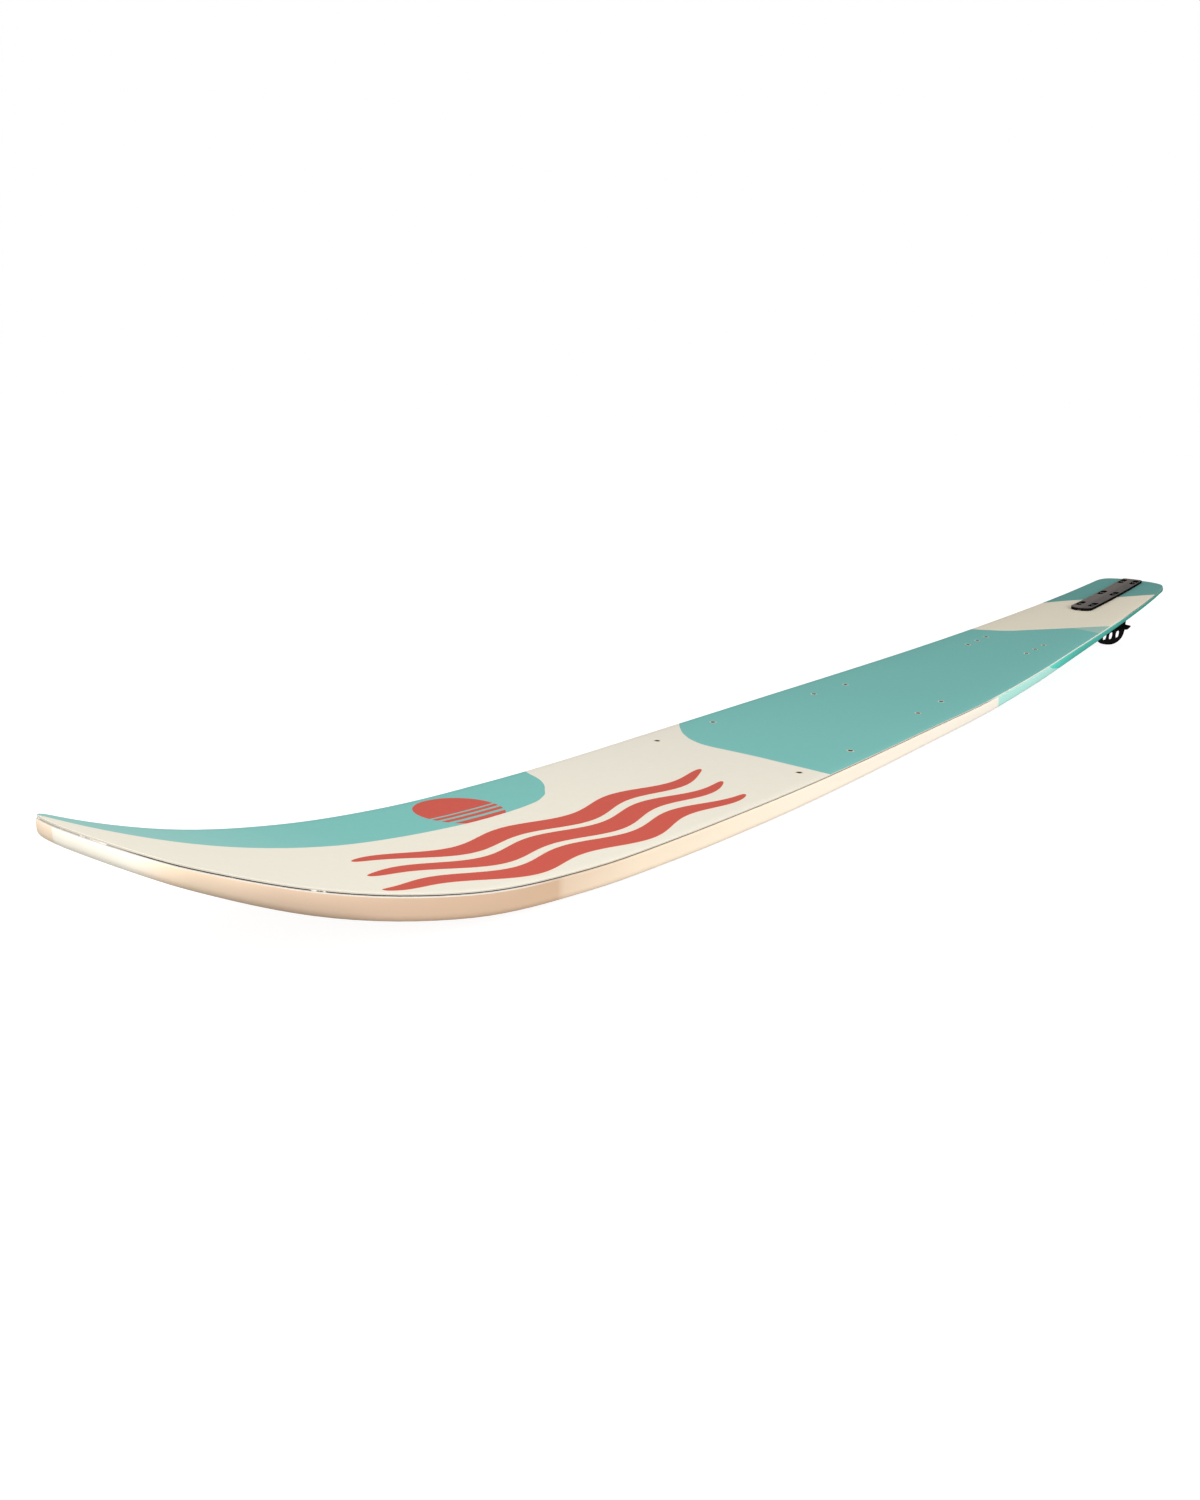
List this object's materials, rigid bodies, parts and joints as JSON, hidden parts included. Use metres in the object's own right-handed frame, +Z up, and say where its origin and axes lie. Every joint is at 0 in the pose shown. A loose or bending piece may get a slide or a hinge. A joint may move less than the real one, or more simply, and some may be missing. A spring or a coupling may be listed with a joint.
{
  "type": "slalom water ski",
  "caption": "Slalom water ski with upturned nose, laminated body, threaded binding inserts, adjustable fin with wing under the tail and a fin block on the deck.",
  "frame": {"origin": "on the ground plane below the middle of the ski's bounding box, the ski resting on its forebody and the bottom of its fin", "axes": "+X along the ski towards the upturned tip, +Y to the skier's left, +Z up"},
  "size_m": [1.6882, 0.1788, 0.093],
  "materials": {
    "deck_print": "satin print under a fine texture",
    "carbon_laminate": "resin-bound carbon, cut edge showing",
    "core_foam": "closed-cell foam",
    "glass_laminate": "resin-bound glass",
    "base_shell": "glossy, coloured in bands along the side",
    "black_plastic": "moulded",
    "block_anodised": "brushed and anodised dark grey",
    "fin_anodised": "anodised black, satin",
    "insert_brass": "turned",
    "screw_steel": "stainless, bright",
    "screw_black": "blackened"
  },
  "bodies": {
    "ski": {"top_sheet": "deck_print", "top_laminate": "carbon_laminate", "foam_core": "core_foam", "bottom_laminate": "glass_laminate", "base_shell": "base_shell", "fin_slot_liner": "black_plastic", "fin_block": "block_anodised", "clamp_bar_left": "black_plastic", "clamp_bar_right": "black_plastic", "binding_insert_left_1": "insert_brass", "binding_insert_left_2": "insert_brass", "binding_insert_left_3": "insert_brass", "binding_insert_left_4": "insert_brass", "binding_insert_left_5": "insert_brass", "binding_insert_left_6": "insert_brass", "binding_insert_left_7": "insert_brass", "binding_insert_right_1": "insert_brass", "binding_insert_right_2": "insert_brass", "binding_insert_right_3": "insert_brass", "binding_insert_right_4": "insert_brass", "binding_insert_right_5": "insert_brass", "binding_insert_right_6": "insert_brass", "binding_insert_right_7": "insert_brass", "block_insert_left_1": "insert_brass", "block_insert_left_2": "insert_brass", "block_insert_left_3": "insert_brass", "block_insert_right_1": "insert_brass", "block_insert_right_2": "insert_brass", "block_insert_right_3": "insert_brass", "block_screw_left_1": "screw_black", "block_screw_left_2": "screw_black", "block_screw_left_3": "screw_black", "block_screw_right_1": "screw_black", "block_screw_right_2": "screw_black", "block_screw_right_3": "screw_black"},
    "fin_carriage": {"fin_stop_front": "black_plastic", "fin_stop_rear": "black_plastic", "adjuster_front": "screw_steel", "adjuster_rear": "screw_steel"},
    "fin": {"fin": "fin_anodised"},
    "wing": {"wing_left": "fin_anodised", "wing_right": "fin_anodised", "wing_screw_front": "screw_steel", "wing_screw_rear": "screw_steel", "wing_nut_front": "screw_steel", "wing_nut_rear": "screw_steel"}
  },
  "joints": [
    {"name": "fin_fore_aft", "type": "slide", "parent": "ski", "child": "fin_carriage", "axis": [0.9954, 0, -0.0958], "range_m": [-0.003, 0.003]},
    {"name": "fin_depth", "type": "slide", "parent": "fin_carriage", "child": "fin", "axis": [0.0958, 0, 0.9954], "range_m": [-0.0015, 0.0015]},
    {"name": "wing_angle", "type": "hinge", "parent": "fin", "child": "wing", "pos_m": [-0.74762, 0, 0.03302], "axis": [0, 1, 0], "range_deg": [-4, 4]}
  ]
}
